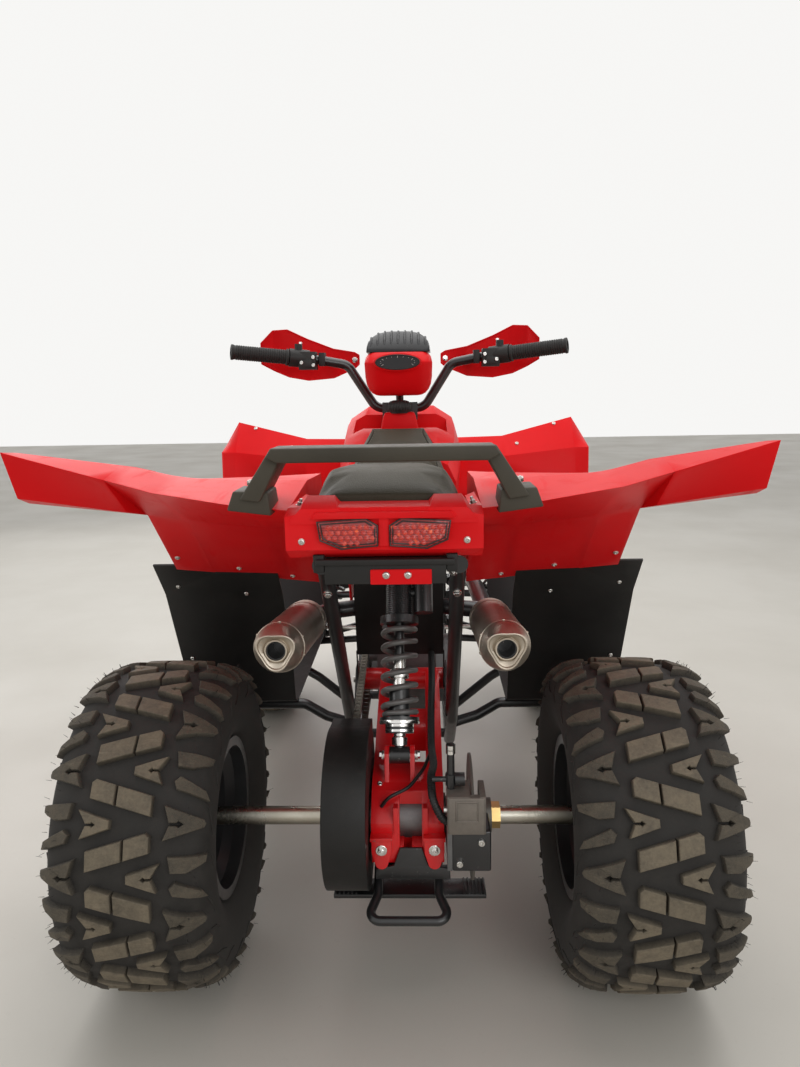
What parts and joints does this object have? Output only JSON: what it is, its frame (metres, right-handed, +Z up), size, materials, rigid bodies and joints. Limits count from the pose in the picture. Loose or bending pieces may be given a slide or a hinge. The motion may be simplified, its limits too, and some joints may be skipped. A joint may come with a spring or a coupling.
{
  "type": "quad bike, chain-driven sport quad with a live rear axle, full size",
  "caption": "Red sport quad bike with knobbly tyres, tubular frame, single rear shock, chain drive, steering that turns the front wheels and rolling axles.",
  "frame": {"origin": "on the floor under the middle of the whole machine", "axes": "+Y forward, +X to the rider's right, +Z up"},
  "size_m": [1.104, 1.8041, 1.19],
  "materials": {
    "red_plastic": "gloss",
    "black_plastic": "textured",
    "dark_plastic": "satin",
    "seat_cover": "grained vinyl",
    "tyre_rubber": "new, dusty lug tops",
    "grip_rubber": "ribbed",
    "black_metal": "powder coat",
    "red_metal": "gloss powder coat",
    "rim_paint": "satin",
    "axle_steel": "turned",
    "muffler_steel": "satin",
    "zinc_steel": "zinc plated",
    "engine_alloy": "cast",
    "fitting_brass": "turned",
    "spring_paint": "gloss",
    "chain_steel": "oiled",
    "red_lens": "moulded lens",
    "clear_lens": "clear lens",
    "dial_glass": "dark",
    "hose_rubber": "matt"
  },
  "bodies": {
    "chassis": {"frame_left": "black_metal", "frame_right": "black_metal", "frame_cross_tubes": "black_metal", "swingarm": "red_metal", "axle_carrier": "black_metal", "pivot_bolts": "zinc_steel", "rear_shock": "black_metal", "rear_spring": "spring_paint", "drive_chain": "chain_steel", "chain_guard": "black_plastic", "rear_brake_caliper": "black_metal", "skid_loop": "black_metal", "engine": "engine_alloy", "exhaust_pipe": "muffler_steel", "mufflers": "muffler_steel", "seat": "seat_cover", "rear_fenders": "red_plastic", "tail_panel": "red_plastic", "tail_lamps": "red_lens", "tail_bracket": "black_plastic", "grab_rail": "dark_plastic", "footwells": "black_plastic", "footrest_bars": "black_metal", "suspension_arms": "black_metal", "front_shocks": "black_metal", "front_springs": "spring_paint", "tank_cover": "red_plastic", "nose": "red_plastic", "headlamps": "clear_lens", "front_fenders": "red_plastic", "front_bumper": "black_metal", "side_panels": "red_plastic", "inner_guard": "black_plastic"},
    "steering": {"steering_stem": "black_metal", "handlebar": "black_metal", "grips": "grip_rubber", "hand_controls": "black_plastic", "handguards": "red_plastic", "instrument_pod": "red_plastic", "dial": "dial_glass", "visor": "black_plastic"},
    "rear_axle": {"rear_axle": "axle_steel", "rear_rims": "rim_paint", "rear_tyres": "tyre_rubber", "rear_sprocket": "zinc_steel", "rear_brake_disc": "axle_steel", "axle_lock_nut": "fitting_brass"},
    "knuckle_left": {"knuckle_left": "black_metal"},
    "front_wheel_left": {"front_tyre_left": "tyre_rubber", "front_rim_left": "rim_paint", "front_hub_left": "axle_steel"},
    "tie_rod_left": {"tie_rod_left": "zinc_steel"},
    "knuckle_right": {"knuckle_right": "black_metal"},
    "front_wheel_right": {"front_tyre_right": "tyre_rubber", "front_rim_right": "rim_paint", "front_hub_right": "axle_steel"},
    "tie_rod_right": {"tie_rod_right": "zinc_steel"}
  },
  "joints": [
    {"name": "steer", "type": "hinge", "parent": "chassis", "child": "steering", "pos_m": [0, 0.3865, 0.38], "axis": [0, -0.5326, 0.8464], "range_deg": [-33, 33]},
    {"name": "rear_axle_spin", "type": "hinge", "parent": "chassis", "child": "rear_axle", "pos_m": [0, -0.6235, 0.279], "axis": [1, 0, 0], "continuous": true},
    {"name": "kingpin_left", "type": "hinge", "parent": "chassis", "child": "knuckle_left", "pos_m": [-0.38, 0.5805, 0.212], "axis": [0.0869, -0.0745, 0.9934], "range_deg": [-33, 33]},
    {"name": "front_wheel_spin_left", "type": "hinge", "parent": "knuckle_left", "child": "front_wheel_left", "pos_m": [-0.46, 0.5765, 0.292], "axis": [1, 0, 0], "continuous": true},
    {"name": "tie_rod_pivot_left", "type": "hinge", "parent": "steering", "child": "tie_rod_left", "pos_m": [-0.015, 0.33572, 0.34804], "axis": [0, -0.5326, 0.8464], "range_deg": [-33, 33]},
    {"name": "kingpin_right", "type": "hinge", "parent": "chassis", "child": "knuckle_right", "pos_m": [0.38, 0.5805, 0.212], "axis": [-0.0869, -0.0745, 0.9934], "range_deg": [-33, 33]},
    {"name": "front_wheel_spin_right", "type": "hinge", "parent": "knuckle_right", "child": "front_wheel_right", "pos_m": [0.46, 0.5765, 0.292], "axis": [1, 0, 0], "continuous": true},
    {"name": "tie_rod_pivot_right", "type": "hinge", "parent": "steering", "child": "tie_rod_right", "pos_m": [0.015, 0.33572, 0.34804], "axis": [0, -0.5326, 0.8464], "range_deg": [-33, 33]}
  ],
  "couplings": [
    {"joint": "kingpin_left", "follows": "steer", "ratio": 1},
    {"joint": "tie_rod_pivot_left", "follows": "steer", "ratio": -1},
    {"joint": "kingpin_right", "follows": "steer", "ratio": 1},
    {"joint": "tie_rod_pivot_right", "follows": "steer", "ratio": -1}
  ]
}
